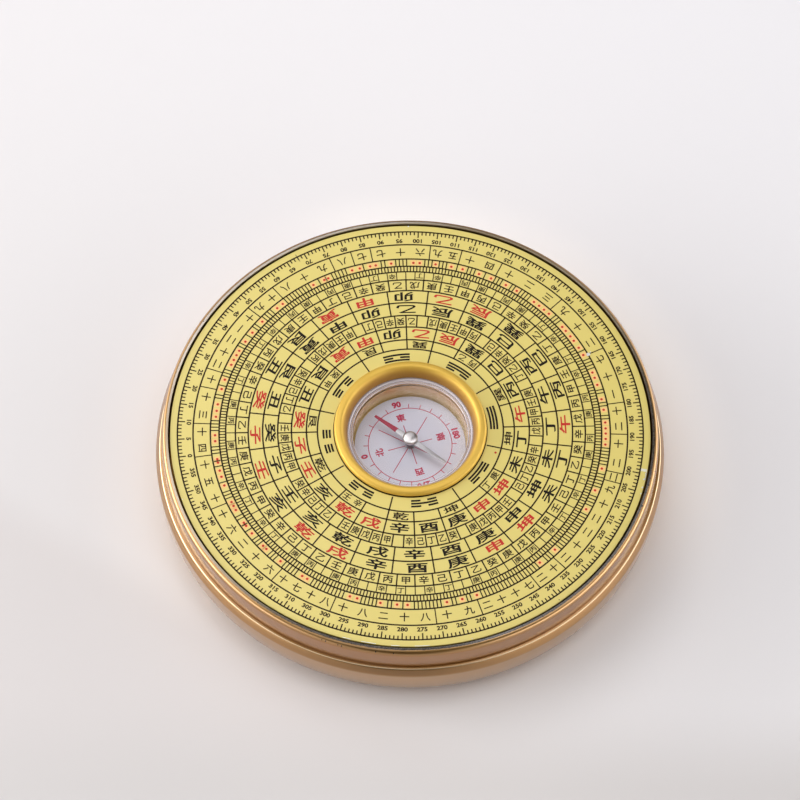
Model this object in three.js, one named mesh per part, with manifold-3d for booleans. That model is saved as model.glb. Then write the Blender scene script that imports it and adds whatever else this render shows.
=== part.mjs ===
// Feng shui compass (luopan): a printed dial that turns in a round two-part metal case, with a
// small magnetic compass in its middle. Millimetres, +Z up, origin at the centre of the foot.
import * as THREE from "three";
import { mergeVertices } from "three/addons/utils/BufferGeometryUtils.js";
import Module from "manifold-3d";

const wasm = await Module();
wasm.setup();

// Clearances
const fitGap = 0.05; // between pressed or glued round pieces
const journalGap = 0.1; // round the turntable's journal
const axialPlay = 0.05; // end play of the turntable
const dialGap = 0.45; // dark gap between the dial and the rim
const turntableSetback = 0.2; // the turntable is this much smaller than its plate
const underGap = 0.4; // turntable skirt above the rim's flange
const capsuleRoom = 0.3; // round the capsule in its well
const bezelRoom = 0.35; // round the bezel's neck in the plate and the turntable
const bezelEndGap = 0.1; // bezel's neck above the capsule
const cardRoom = 0.35; // round the card in the capsule
const needleTipRoom = 2.75; // from the needle's tips to the capsule's wall
const capRoom = 0.4; // needle's cap below the window
const pinTipGap = 0.03;
const screwHeadRoom = 0.25;
const screwEndRoom = 0.2;

// Dial
const dialRadius = 49.8;
const plateThickness = 0.5;

// Case, from its foot up
const footRecess = 0.6;
const floorThickness = 2.4;
const footEdge = 1.35; // from the screw heads to the foot's inner edge
const footCurl = 3.3; // the lower band curls in this much down to the foot
const caseWall = 3.2;
const innerCornerHeight = 5; // where the inside of the wall starts to curl in
const innerCornerWidth = 3.4;
const widestBand = 1.35; // upright band at the widest radius
const shoulderSlopeHeight = 1.53;
const shoulderSlopeWidth = 0.85;
const shoulderEdge = 0.17; // small round above the slope
const shoulderStep = 0.08; // shoulder proud of the rim's band

// Case, upper ring
const rimDepth = 5.5; // from the dial's face down to where the halves meet
const rimWall = 1.92;
const rimFlangeThickness = 1.9;
const rimFlangeEdge = 0.3; // flange past the screw bosses
const grooveDepth = 0.47; // where the halves meet
const rimBandFoot = 0.55; // the band starts this far above the split
const rimBandBulge = 0.65; // share of the band that stays near its full radius
const rimKneeDrop = 1.5; // the band rounds over this far below the dial's face
const rimKneeInset = 0.42; // and is this much narrower there
const rimCrownInset = 0.88; // corner of the rounding, in from the band
const rimLipWidth = 0.4;
const rimLipEdgeRise = 0.2;
const rimLipRise = 0.35;

// Screws that join the two halves, from below
const rimScrewCount = 4;
const rimScrewTurn = 45; // degrees
const rimScrewInset = 3; // from the inside of the wall
const rimScrewRadius = 1.25;
const rimScrewEndWall = 0.5; // left in the flange above the hole
const rimScrewHeadRadius = 2.1;
const rimScrewHeadHeight = 1.4;
const rimScrewHeadSink = 0.5; // head below the foot
const screwBossRadius = 3.2;
const recessDepth = 0.75; // cross recess of every screw head
const recessWidth = 0.5;

// Bearing in the middle of the case
const hubBossRadius = 11;
const bushLength = 3;
const bushWall = 1.6;
const bushFlangeReach = 2.5; // past the bush's outside
const bushFlangeThickness = 0.6;
const journalRadius = 3.3;
const glideWasherReach = 0.5; // past the bush's flange
const glideWasherThickness = 0.4;
const retainingWasherRadius = 7.2;
const retainingWasherThickness = 0.6;
const retainingRoom = 1; // round the retaining washer
const hubScrewRadius = 1.2;
const hubScrewEndWall = 1; // left below the well, above the hole
const hubScrewHeadRadius = 2.6;
const hubScrewHeadHeight = 1.2;

// Turntable
const turntableThickness = 2;
const skirtWidth = 2.4;
const hubWall = 2.6;
const hubEdge = 1; // chamfer under the hub
const wellFloorThickness = 1.6;

// Compass capsule
const cardRadius = 11.6;
const cardThickness = 0.6;
const cardDrop = 6.6; // below the dial's face
const capsuleFloorThickness = 1.1;
const capsuleLedge = 0.4; // carries the window
const capsuleWall = 1.25;
const capsuleTopDrop = 1.8; // below the dial's face
const lensThickness = 1;
const lensRimHeight = 0.9; // raised rim that sits on the capsule's edge
const lensRimFlat = 0.1; // level part of this rim inside the bezel
const lensClearInset = 0.45; // clear part, in from the capsule's wall

// Bezel
const bezelLip = 0.6; // over the capsule's edge
const bezelNeckWall = 0.4;
const bezelRise = 1.45;
const bezelInnerWidth = 1.6; // from its opening to its crest
const bezelOuterWidth = 1.25; // from its crest to its outside
const bezelShoulder = 0.8; // the inside turns down this far in from the crest
const bezelFlare = 0.05; // the outside leans out this much

// Needle and its pin
const pinBaseRadius = 1;
const pinBaseThickness = 0.3;
const pinRadius = 0.3;
const pinTaperLength = 0.75;
const needleMidWidth = 1.7;
const needleTipWidth = 0.5;
const needleThickness = 0.2;
const needleHubRadius = 1.3;
const needleHeading = 143.7; // degrees from +X, the way the red half points
const capRadius = 1.55;
const capHeight = 0.85;
const capStemRadius = 0.7;
const capStemLength = 0.35; // below the blade
const jewelRadius = 0.45;
const jewelHeight = 0.7;
const jewelRecessRadius = 0.35;
const jewelRecessDepth = 0.5;

// Facets round a full turn
const caseSides = 72;
const bezelSides = 60;
const hubSides = 36;
const smallSides = 16;

// Heights that follow, from the foot up
const floorTop = footRecess + floorThickness;
const journalEnd = floorTop - axialPlay;
const hubScrewSeat = journalEnd - retainingWasherThickness;
const hubBossTop = floorTop + bushLength;
const bushTop = hubBossTop + bushFlangeThickness;
const hubUnderside = bushTop + glideWasherThickness;
const wellFloor = hubUnderside + wellFloorThickness;
const hubScrewHoleEnd = wellFloor - hubScrewEndWall;
const cardUnderside = wellFloor + capsuleFloorThickness;
const cardTop = cardUnderside + cardThickness;
const dialFaceHeight = cardTop + cardDrop;
const plateUnderside = dialFaceHeight - plateThickness;
const turntableUnderside = plateUnderside - turntableThickness;
const splitHeight = dialFaceHeight - rimDepth;
const shoulderHeight = splitHeight - shoulderEdge;
const creaseHeight = shoulderHeight - shoulderSlopeHeight;
const caseWidestHeight = creaseHeight - widestBand;
const flangeTop = splitHeight + rimFlangeThickness;
const rimScrewHoleEnd = flangeTop - rimScrewEndWall;
const rimScrewSeat = rimScrewHeadSink + rimScrewHeadHeight;
const capsuleTop = dialFaceHeight - capsuleTopDrop;
const lensUnderside = capsuleTop - lensThickness;
const lensRimTop = capsuleTop + lensRimHeight;
const bezelNeckEnd = capsuleTop + bezelEndGap;
const bezelSeatHeight = capsuleTop - bezelEndGap;
const bezelLipUnderside = lensRimTop + bezelEndGap;
const bezelCrest = dialFaceHeight + bezelRise;
const bladeTop = lensUnderside - capRoom - capHeight;
const bladeUnderside = bladeTop - needleThickness;
const capStemEnd = bladeUnderside - capStemLength;
const jewelTop = capStemEnd + jewelHeight;
const recessTop = capStemEnd + jewelRecessDepth;

// Radii that follow
const turntableRadius = dialRadius - turntableSetback;
const rimBore = dialRadius + dialGap;
const rimBandRadius = rimBore + rimWall;
const seatEdgeRadius = rimBandRadius - grooveDepth;
const shoulderRadius = rimBandRadius + shoulderStep;
const caseWidestRadius = shoulderRadius + shoulderSlopeWidth;
const footRadius = caseWidestRadius - footCurl;
const wallInner = caseWidestRadius - caseWall;
const rimScrewCircle = wallInner - rimScrewInset;
const rimScrewHeadRoom = rimScrewHeadRadius + screwHeadRoom;
const footInner = rimScrewCircle - rimScrewHeadRoom - footEdge;
const rimFlangeInner = rimScrewCircle - screwBossRadius - rimFlangeEdge;
const bushBore = journalRadius + journalGap;
const bushRadius = bushBore + bushWall;
const bushFlangeRadius = bushRadius + bushFlangeReach;
const glideWasherRadius = bushFlangeRadius + glideWasherReach;
const retainingRoomRadius = retainingWasherRadius + retainingRoom;
const capsuleInnerRadius = cardRadius + cardRoom;
const capsuleWindowRadius = capsuleInnerRadius + capsuleLedge;
const capsuleRadius = capsuleWindowRadius + capsuleWall;
const wellRadius = capsuleRadius + capsuleRoom;
const hubRadius = wellRadius + hubWall;
const bezelInnerRadius = capsuleRadius - bezelLip;
const bezelNeckBore = capsuleRadius + fitGap;
const bezelNeckRadius = bezelNeckBore + bezelNeckWall;
const bezelBore = bezelNeckRadius + bezelRoom;
const bezelCrestRadius = bezelInnerRadius + bezelInnerWidth;
const bezelRadius = bezelCrestRadius + bezelOuterWidth;
const needleHalfLength = capsuleInnerRadius - needleTipRoom;

// Finishes
const finish = (color, roughness, metalness, extra = {}) =>
  new THREE.MeshStandardMaterial({ color, roughness, metalness, ...extra });
const champagneGold = () => finish(0xc9a57e, 0.32, 1);
const polishedGold = () => finish(0xe0b43c, 0.2, 1);
const printedYellow = () => finish(0xe8dc86, 0.45, 0);
const blackPlastic = () => finish(0x1b1a19, 0.6, 0);
const clearPlastic = () => finish(0xf2f0f4, 0.08, 0, { transparent: true, opacity: 0.3 });
const whiteCard = () => finish(0xdcd8e6, 0.6, 0);
const steel = () => finish(0xb9babd, 0.3, 1);
const nickel = () => finish(0xd6d5d2, 0.15, 1);
const brass = () => finish(0xc8a04e, 0.35, 1);
const nylon = () => finish(0xeeeae0, 0.5, 0);
const jewelGlass = () => finish(0xa8344a, 0.1, 0);

// A solid of revolution about Z from [radius, height] points, run anticlockwise
function revolve(points, sides) {
  const profile = points.map(([r, z]) => new THREE.Vector2(r, z));
  const closed = points[0][0] > 0 || points[points.length - 1][0] > 0;
  if (closed) profile.push(profile[0].clone());
  return new THREE.LatheGeometry(profile, sides).rotateX(Math.PI / 2);
}

// Points along a quarter of an ellipse, from one angle to another
function ellipsePoints(centreR, centreZ, halfR, halfZ, fromDegrees, toDegrees, steps) {
  return Array.from({ length: steps + 1 }, (_, i) => {
    const angle = THREE.MathUtils.degToRad(fromDegrees + ((toDegrees - fromDegrees) * i) / steps);
    return [centreR + halfR * Math.cos(angle), centreZ + halfZ * Math.sin(angle)];
  });
}

// Points along a quadratic curve
function curvePoints(start, control, end, steps) {
  const curve = new THREE.QuadraticBezierCurve(
    new THREE.Vector2(...start), new THREE.Vector2(...control), new THREE.Vector2(...end));
  return curve.getPoints(steps).map((p) => [p.x, p.y]);
}

// A closed geometry as a solid for cutting and joining
function toSolid(geometry) {
  const bare = geometry.clone();
  bare.deleteAttribute("normal");
  bare.deleteAttribute("uv");
  const merged = mergeVertices(bare, 1e-4);
  const index = Array.from(merged.index.array);
  const triangles = [];
  for (let i = 0; i < index.length; i += 3) {
    const [a, b, c] = index.slice(i, i + 3);
    if (a !== b && b !== c && c !== a) triangles.push(a, b, c);
  }
  return new wasm.Manifold(new wasm.Mesh({
    numProp: 3,
    vertProperties: new Float32Array(merged.attributes.position.array),
    triVerts: new Uint32Array(triangles),
  }));
}

// A solid back as a geometry
function toGeometry(solid) {
  const mesh = solid.getMesh();
  const geometry = new THREE.BufferGeometry();
  geometry.setAttribute("position", new THREE.BufferAttribute(mesh.vertProperties, 3));
  geometry.setIndex(new THREE.BufferAttribute(mesh.triVerts, 1));
  geometry.computeVertexNormals();
  return geometry;
}

// An upright round rod from one height to another
function rod(radius, bottom, top, sides) {
  return revolve([[0, bottom], [radius, bottom], [radius, top], [0, top]], sides);
}

// A flat washer
function washer(inner, outer, bottom, top, sides) {
  return revolve([[inner, bottom], [outer, bottom], [outer, top], [inner, top]], sides);
}

// Places of the case screws, round the axis
const rimScrewPlaces = Array.from({ length: rimScrewCount }, (_, i) => {
  const angle = THREE.MathUtils.degToRad(rimScrewTurn + (360 * i) / rimScrewCount);
  return [rimScrewCircle * Math.cos(angle), rimScrewCircle * Math.sin(angle)];
});

// Lower half of the case: an open tray with a foot ring, screw bosses and a hub boss
function caseBase() {
  const tray = toSolid(revolve([
    [0, footRecess],
    [footInner, footRecess],
    [footInner, 0],
    ...ellipsePoints(footRadius, caseWidestHeight, caseWidestRadius - footRadius,
      caseWidestHeight, -90, 0, 6),
    [caseWidestRadius, creaseHeight],
    [shoulderRadius, shoulderHeight],
    [seatEdgeRadius, splitHeight],
    [wallInner, splitHeight],
    ...curvePoints([wallInner, floorTop + innerCornerHeight], [wallInner, floorTop],
      [wallInner - innerCornerWidth, floorTop], 3),
    [hubBossRadius, floorTop],
    [hubBossRadius, hubBossTop],
    [0, hubBossTop],
  ], caseSides));
  let solid = tray
    .subtract(toSolid(rod(retainingRoomRadius, 0, floorTop, hubSides)))
    .subtract(toSolid(rod(bushRadius + fitGap, 0, 2 * hubBossTop, hubSides)));
  for (const [x, y] of rimScrewPlaces) {
    const boss = rod(screwBossRadius, footRecess, splitHeight, smallSides).translate(x, y, 0);
    solid = solid.add(toSolid(boss));
  }
  for (const [x, y] of rimScrewPlaces) {
    const hole = rod(rimScrewRadius + fitGap, 0, 2 * splitHeight, smallSides);
    const headRoom = rod(rimScrewHeadRoom, -rimScrewSeat, rimScrewSeat, smallSides);
    solid = solid.subtract(toSolid(hole.translate(x, y, 0)));
    solid = solid.subtract(toSolid(headRoom.translate(x, y, 0)));
  }
  return toGeometry(solid);
}

// Upper ring of the case: flared band, bare lip, and a flange that the screws bite into
function caseRim() {
  const bandFoot = splitHeight + rimBandFoot;
  const kneeRadius = rimBandRadius - rimKneeInset;
  const kneeHeight = dialFaceHeight - rimKneeDrop;
  const bulgeHeight = bandFoot + rimBandBulge * (kneeHeight - bandFoot);
  const kneeSlope = (kneeHeight - bulgeHeight) / rimKneeInset;
  const crownHeight = kneeHeight + kneeSlope * (rimCrownInset - rimKneeInset);
  const ring = toSolid(revolve([
    [rimFlangeInner, splitHeight],
    [seatEdgeRadius, splitHeight],
    ...curvePoints([rimBandRadius, bandFoot], [rimBandRadius, bulgeHeight],
      [kneeRadius, kneeHeight], 4),
    ...curvePoints([kneeRadius, kneeHeight], [rimBandRadius - rimCrownInset, crownHeight],
      [rimBore + rimLipWidth, dialFaceHeight + rimLipEdgeRise], 4).slice(1),
    [rimBore, dialFaceHeight + rimLipRise],
    [rimBore, flangeTop],
    [rimFlangeInner, flangeTop],
  ], caseSides));
  let solid = ring;
  for (const [x, y] of rimScrewPlaces) {
    const hole = rod(rimScrewRadius + fitGap, 0, rimScrewHoleEnd, smallSides);
    solid = solid.subtract(toSolid(hole.translate(x, y, 0)));
  }
  return toGeometry(solid);
}

// A pan-head screw with a cross recess, head down, its seat at the given height
function screw(radius, headRadius, headHeight, seat, tip) {
  const crown = headHeight / 3;
  const body = toSolid(revolve([
    [0, seat - headHeight],
    [headRadius - crown, seat - headHeight],
    [headRadius, seat - headHeight + crown],
    [headRadius, seat],
    [radius, seat],
    [radius, tip - radius / 2],
    [radius / 2, tip],
    [0, tip],
  ], smallSides));
  const armLength = headRadius * 1.3;
  const arm = new THREE.BoxGeometry(armLength, recessWidth, 2 * recessDepth);
  arm.translate(0, 0, seat - headHeight);
  const crossArm = arm.clone().rotateZ(Math.PI / 2);
  return toGeometry(body.subtract(toSolid(arm)).subtract(toSolid(crossArm)));
}

function rimScrew() {
  return screw(rimScrewRadius, rimScrewHeadRadius, rimScrewHeadHeight, rimScrewSeat,
    rimScrewHoleEnd - screwEndRoom);
}

function hubScrew() {
  return screw(hubScrewRadius, hubScrewHeadRadius, hubScrewHeadHeight, hubScrewSeat,
    hubScrewHoleEnd - fitGap);
}

// Flanged bush in the hub boss
function hubBush() {
  return revolve([
    [bushBore, floorTop],
    [bushRadius, floorTop],
    [bushRadius, hubBossTop],
    [bushFlangeRadius, hubBossTop],
    [bushFlangeRadius, bushTop],
    [bushBore, bushTop],
  ], hubSides);
}

function glideWasher() {
  return washer(bushBore, glideWasherRadius, bushTop, hubUnderside, hubSides);
}

function retainingWasher() {
  return washer(hubScrewRadius + fitGap, retainingWasherRadius, hubScrewSeat, journalEnd,
    hubSides);
}

// Turntable: disc with a skirt, a well for the capsule, and the journal under it
function turntable() {
  return revolve([
    [0, hubScrewHoleEnd],
    [hubScrewRadius + fitGap, hubScrewHoleEnd],
    [hubScrewRadius + fitGap, journalEnd],
    [journalRadius, journalEnd],
    [journalRadius, hubUnderside],
    [hubRadius - hubEdge, hubUnderside],
    [hubRadius, hubUnderside + hubEdge],
    [hubRadius, turntableUnderside],
    [turntableRadius - skirtWidth, turntableUnderside],
    [turntableRadius - skirtWidth, flangeTop + underGap],
    [turntableRadius, flangeTop + underGap],
    [turntableRadius, plateUnderside],
    [bezelBore, plateUnderside],
    [bezelBore, bezelSeatHeight],
    [wellRadius, bezelSeatHeight],
    [wellRadius, wellFloor],
    [0, wellFloor],
  ], caseSides);
}

function dialPlate() {
  return washer(bezelBore, dialRadius, plateUnderside, dialFaceHeight, caseSides);
}

// Bezel: a rounded ring on the plate whose neck goes down round the capsule
function bezelRing() {
  return revolve([
    [bezelNeckBore, bezelNeckEnd],
    [bezelNeckRadius, bezelNeckEnd],
    [bezelNeckRadius, dialFaceHeight],
    ...curvePoints([bezelRadius, dialFaceHeight], [bezelRadius + bezelFlare, bezelCrest],
      [bezelCrestRadius, bezelCrest], 5),
    ...curvePoints([bezelCrestRadius, bezelCrest],
      [bezelCrestRadius - bezelShoulder, bezelCrest],
      [bezelInnerRadius, bezelLipUnderside], 6).slice(1),
    [bezelNeckBore, bezelLipUnderside],
  ], bezelSides);
}

// Clear cup with a ledge for its window
function capsuleCup() {
  return revolve([
    [0, wellFloor],
    [capsuleRadius, wellFloor],
    [capsuleRadius, capsuleTop],
    [capsuleWindowRadius, capsuleTop],
    [capsuleWindowRadius, lensUnderside],
    [capsuleInnerRadius, lensUnderside],
    [capsuleInnerRadius, cardUnderside],
    [0, cardUnderside],
  ], hubSides);
}

// Clear window with a sloping rim that covers the cup's edge
function capsuleLens() {
  return revolve([
    [0, lensUnderside],
    [capsuleWindowRadius - fitGap, lensUnderside],
    [capsuleWindowRadius - fitGap, capsuleTop + fitGap],
    [capsuleRadius, capsuleTop + fitGap],
    [capsuleRadius, lensRimTop],
    [bezelInnerRadius - lensRimFlat, lensRimTop],
    [capsuleInnerRadius - lensClearInset, capsuleTop],
    [0, capsuleTop],
  ], hubSides);
}

function compassCard() {
  return rod(cardRadius, cardUnderside, cardTop, hubSides);
}

// Pin on a small round base, sharpened at the top
function pivotPin() {
  const tip = recessTop - pinTipGap;
  return revolve([
    [0, cardTop],
    [pinBaseRadius, cardTop],
    [pinBaseRadius, cardTop + pinBaseThickness],
    [pinRadius, cardTop + pinBaseThickness],
    [pinRadius, tip - pinTaperLength],
    [0, tip],
  ], smallSides);
}

// Lozenge blade with a round hub and blunt tips, red half towards +X
function needleBlade() {
  const half = needleHalfLength;
  const slope = (needleMidWidth - needleTipWidth) / 2 / half;
  const hubReach = Math.sqrt(needleHubRadius ** 2 - (needleMidWidth / 2) ** 2);
  const edge = (x) => needleMidWidth / 2 - slope * Math.abs(x);
  const hubAngle = Math.atan2(edge(hubReach), hubReach);
  const start = needleHubRadius * Math.cos(hubAngle);
  const outline = new THREE.Shape();
  outline.moveTo(half, -edge(half));
  outline.lineTo(half, edge(half));
  outline.lineTo(start, edge(start));
  outline.absarc(0, 0, needleHubRadius, hubAngle, Math.PI - hubAngle, false);
  outline.lineTo(-half, edge(half));
  outline.lineTo(-half, -edge(half));
  outline.lineTo(-start, -edge(start));
  outline.absarc(0, 0, needleHubRadius, Math.PI + hubAngle, 2 * Math.PI - hubAngle, false);
  outline.closePath();
  const hole = new THREE.Path();
  hole.absarc(0, 0, capStemRadius + fitGap, 0, 2 * Math.PI, true);
  outline.holes.push(hole);
  const blade = new THREE.ExtrudeGeometry(outline, {
    depth: needleThickness, bevelEnabled: false, curveSegments: 10,
  });
  return blade.translate(0, 0, bladeUnderside);
}

// Domed cap whose stem goes through the blade and holds the jewel
function needleCap() {
  return revolve([
    [0, jewelTop + fitGap],
    [jewelRadius + fitGap, jewelTop + fitGap],
    [jewelRadius + fitGap, capStemEnd],
    [capStemRadius, capStemEnd],
    [capStemRadius, bladeTop],
    ...ellipsePoints(0, bladeTop, capRadius, capHeight, 0, 90, 6),
  ], smallSides);
}

// Bearing cup with a cone for the pin's point
function needleJewel() {
  return revolve([
    [0, recessTop],
    [jewelRecessRadius, capStemEnd],
    [jewelRadius, capStemEnd],
    [jewelRadius, jewelTop],
    [0, jewelTop],
  ], smallSides);
}

function named(name, geometry, material) {
  const mesh = new THREE.Mesh(geometry, material);
  mesh.name = name;
  return mesh;
}

// The case stands still
const caseGroup = new THREE.Group();
caseGroup.add(named("case_base", caseBase(), champagneGold()));
caseGroup.add(named("case_rim", caseRim(), champagneGold()));
rimScrewPlaces.forEach(([x, y], i) => {
  const piece = named(`rim_screw_${i + 1}`, rimScrew(), steel());
  piece.position.set(x, y, 0);
  caseGroup.add(piece);
});
caseGroup.add(named("hub_bush", hubBush(), brass()));
caseGroup.add(named("glide_washer", glideWasher(), nylon()));

// The dial turns in the case
const dialGroup = new THREE.Group();
dialGroup.add(named("turntable", turntable(), blackPlastic()));
dialGroup.add(named("dial_plate", dialPlate(), printedYellow()));
dialGroup.add(named("bezel_ring", bezelRing(), polishedGold()));
dialGroup.add(named("capsule_cup", capsuleCup(), clearPlastic()));
dialGroup.add(named("capsule_lens", capsuleLens(), clearPlastic()));
dialGroup.add(named("compass_card", compassCard(), whiteCard()));
dialGroup.add(named("pivot_pin", pivotPin(), steel()));
dialGroup.add(named("retaining_washer", retainingWasher(), brass()));
dialGroup.add(named("hub_screw", hubScrew(), steel()));

// The needle swings on its pin
const needleGroup = new THREE.Group();
needleGroup.rotation.z = THREE.MathUtils.degToRad(needleHeading);
needleGroup.add(named("needle", needleBlade(), steel()));
needleGroup.add(named("needle_cap", needleCap(), nickel()));
needleGroup.add(named("needle_jewel", needleJewel(), jewelGlass()));

const compass = new THREE.Group();
compass.add(caseGroup, dialGroup, needleGroup);
export default compass;
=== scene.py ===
# Feng shui compass (luopan): a printed dial that turns in a round satin metal case, with a small
# magnetic compass in its middle. Lengths are in millimetres here and become metres in the meshes.
import math
import random

import bmesh
import bpy
from mathutils import Matrix, Vector

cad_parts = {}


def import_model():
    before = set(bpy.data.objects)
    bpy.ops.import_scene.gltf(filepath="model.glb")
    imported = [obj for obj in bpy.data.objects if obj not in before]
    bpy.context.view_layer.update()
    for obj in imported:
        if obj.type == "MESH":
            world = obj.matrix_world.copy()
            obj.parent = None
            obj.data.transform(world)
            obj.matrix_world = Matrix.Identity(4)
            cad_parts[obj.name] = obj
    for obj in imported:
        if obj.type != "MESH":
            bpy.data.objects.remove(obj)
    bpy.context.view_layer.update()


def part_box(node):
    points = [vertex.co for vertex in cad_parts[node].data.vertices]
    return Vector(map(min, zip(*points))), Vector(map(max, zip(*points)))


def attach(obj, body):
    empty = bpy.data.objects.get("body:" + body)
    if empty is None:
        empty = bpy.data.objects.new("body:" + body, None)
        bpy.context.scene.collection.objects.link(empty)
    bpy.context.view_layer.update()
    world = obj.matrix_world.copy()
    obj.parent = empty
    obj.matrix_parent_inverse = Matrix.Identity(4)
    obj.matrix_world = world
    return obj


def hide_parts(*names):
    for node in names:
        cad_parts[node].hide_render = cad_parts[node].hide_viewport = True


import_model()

MM = 0.001
CASE_SIDES = 384
BEZEL_SIDES = 256
HUB_SIDES = 128
SMALL_SIDES = 64

# The photograph's view: angles in degrees, the dial's middle in pixels of an 800 pixel frame
VIEW_ELEVATION = 60.621
VIEW_ROLL = 0.667
VIEW_DISTANCE = 759.26
FOCAL_PIXELS = 3661.2
FRAME_PIXELS = 800
SENSOR_WIDTH = 36
DIAL_CENTRE_PIXEL = (410.4, 429.5)


def box_mm(node):
    low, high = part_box(node)
    return Vector(low) / MM, Vector(high) / MM


def reach(node):
    return box_mm(node)[1].x


def underside(node):
    return box_mm(node)[0].z


def top(node):
    return box_mm(node)[1].z


# Heights and radii that the frame gives
DIAL_R = reach("dial_plate")
FACE = top("dial_plate")
PLATE_UNDER = underside("dial_plate")
CASE_R = reach("case_base")
SPLIT = top("case_base")
RIM_R = reach("case_rim")
RIM_TOP = top("case_rim")
TURNTABLE_R = reach("turntable")
JOURNAL_END = underside("turntable")
BEZEL_TOP = top("bezel_ring")
BEZEL_NECK_END = underside("bezel_ring")
CUP_R = reach("capsule_cup")
CUP_TOP = top("capsule_cup")
WELL_FLOOR = underside("capsule_cup")
LENS_UNDER = underside("capsule_lens")
CARD_R = reach("compass_card")
CARD_TOP = top("compass_card")
CARD_UNDER = underside("compass_card")
BLADE_TOP = top("needle")
BLADE_UNDER = underside("needle")
CAP_TOP = top("needle_cap")
CAP_STEM_END = underside("needle_cap")
JEWEL_TOP = top("needle_jewel")
PIN_TIP = top("pivot_pin")
BUSH_TOP = top("hub_bush")
HUB_UNDER = top("glide_washer")
FLOOR_TOP = underside("hub_bush")

# Case
FIT_GAP = 0.05
DIAL_GAP = 0.45
FOOT_RECESS = 0.6
FOOT_EDGE_R = 43.2
FOOT_R = CASE_R - 3.3
CREASE_DROP = 1.7
WIDEST_DROP = 3.05
SHOULDER_R = CASE_R - 0.85
SHOULDER_DROP = 0.06
SEAT_EDGE_R = RIM_R - 0.47
WALL_INNER_R = CASE_R - 3.2
INNER_CORNER = (3.4, 5)
HUB_BOSS_R = 11
BUSH_R = 5
BUSH_BORE_R = 3.4
BUSH_FLANGE_R = 7.5
BUSH_SEAT = BUSH_TOP - 0.6
GLIDE_WASHER_R = 8
RETAINING_ROOM_R = 8.2
RETAINING_WASHER_R = 7.2
RETAINING_WASHER_THICKNESS = 0.6
RIM_BORE_R = DIAL_R + DIAL_GAP
LIP_R = RIM_BORE_R + 0.4
LIP_EDGE_RISE = 0.2
FLANGE_THICKNESS = 1.9
FLANGE_INNER_R = 43.4
BAND_INSET = 0.42
BAND_LEAN = 0.17
KNEE_DROP = 1.25
CROWN_LEAN = 0.02

# Screws
RIM_SCREW_CIRCLE = 46.9
RIM_SCREW_TURN = 45
SCREW_BOSS_R = 3.2
SCREW_BOSS_SINK = 0.5
SCREW_HOLE_R = 1.3
SCREW_HOLE_DEPTH = 1.4
SCREW_HEAD_ROOM_R = 2.35
SCREW_SEAT = 1.9
HUB_SCREW_R = 1.2
HUB_SCREW_HEAD_R = 2.6
HUB_SCREW_HEAD = 1.2
RIM_SCREW_R = 1.25
RIM_SCREW_HEAD_R = 2.1
RIM_SCREW_HEAD = 1.4
RECESS_DEPTH = 0.75
RECESS_WIDTH = 0.5

# Turntable, bezel and capsule
TURNTABLE_THICKNESS = 2
SKIRT_WIDTH = 2.4
SKIRT_UNDER = 13.7
JOURNAL_R = 3.3
HUB_R = 16.5
HUB_CHAMFER = 1
WELL_R = CUP_R + 0.3
WELL_FLOOR_THICKNESS = 1
BEZEL_BORE_R = CUP_R + 0.8
BEZEL_SEAT_DROP = 0.1
BEZEL_R = 15.85
BEZEL_CREST_R = 14.6
BEZEL_CREST_WIDTH = 0.8
BEZEL_INNER_R = CUP_R - 0.5
BEZEL_CURL_IN = 0.6
BEZEL_CURL_RISE = 0.5
BEZEL_NECK_BORE_R = CUP_R + FIT_GAP
BEZEL_NECK_R = BEZEL_NECK_BORE_R + 0.4
CUP_INNER_R = 11.95
CUP_WINDOW_R = 12.35
WINDOW_CLEAR_R = 12.02
WINDOW_EDGE = 0.1
WINDOW_LEDGE_RISE = 0.2
WINDOW_STEP_R = 12.66
WINDOW_STEP = 0.14
WINDOW_RIM_TOP = CUP_TOP + 0.5
BEZEL_LIP_UNDER = WINDOW_RIM_TOP + 0.1

# Needle
NEEDLE_HEADING = 143.7
NEEDLE_HALF = 9.2
NEEDLE_MID_WIDTH = 1.5
NEEDLE_TIP_WIDTH = 0.55
NEEDLE_HUB_R = 1.3
BLADE_BEVEL = 0.04
CAP_R = 1.55
CAP_STEM_R = 0.7
CAP_WALL = 0.45
JEWEL_R = 0.45
JEWEL_RECESS_R = 0.35
JEWEL_RECESS = 0.5
PIN_R = 0.3
PIN_BASE_R = 1
PIN_BASE_THICKNESS = 0.3
PIN_TAPER = 0.75
NEEDLE_RED_FROM = 3.6

# Print on the dial: radii, widths and heights in millimetres, angles in degrees
INK_RISE = 0.02
INK_SINK = 0.02
CIRCLE_LINE = 0.32
SPOKE_LINE = 0.29
CIRCLES = (19.28, 21.56, 24.67, 27.52, 30.64, 33.63, 36.28, 38.3, 39.66, 41.47, 45.05, 48.29)
DEGREE_ZERO = 188.5
LONG_TICK = 1.47
SHORT_TICK = 0.85
TICK_LINE = 0.26
FINE_LINE = 0.24
# Width of the dark ring painted round the bezel's foot as its shadow
BEZEL_SHADOW_WIDTH = 0.42
DEGREE_SIGN_R = 45.98
DEGREE_SIGN = (0.74, 0.98)
SIGN_BOLD = 0.022
STEM_BOLD = 0.018
CELL_LINE = 0.22
CELL_SIGN = (1.8, 1.85)
CELL_SIGN_ROOM = 4.2
DOT_R = 40.5
DOT_SIZE = 0.55
PATCH_HALF = 0.8
PATCH_MARGIN = 0.25
FINE_CELLS = 330
# Radial lines: the two circles they run between, how many, the angle of the first, and their width
SPOKE_RINGS = (
    (0, 2, 24, 2.5, SPOKE_LINE), (3, 5, 24, 189, SPOKE_LINE), (2, 3, 72, 2.5, SPOKE_LINE),
    (5, 6, 60, 2, SPOKE_LINE), (6, 7, 120, 2, 0.2), (7, 8, 360, 0.5, FINE_LINE),
)
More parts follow.
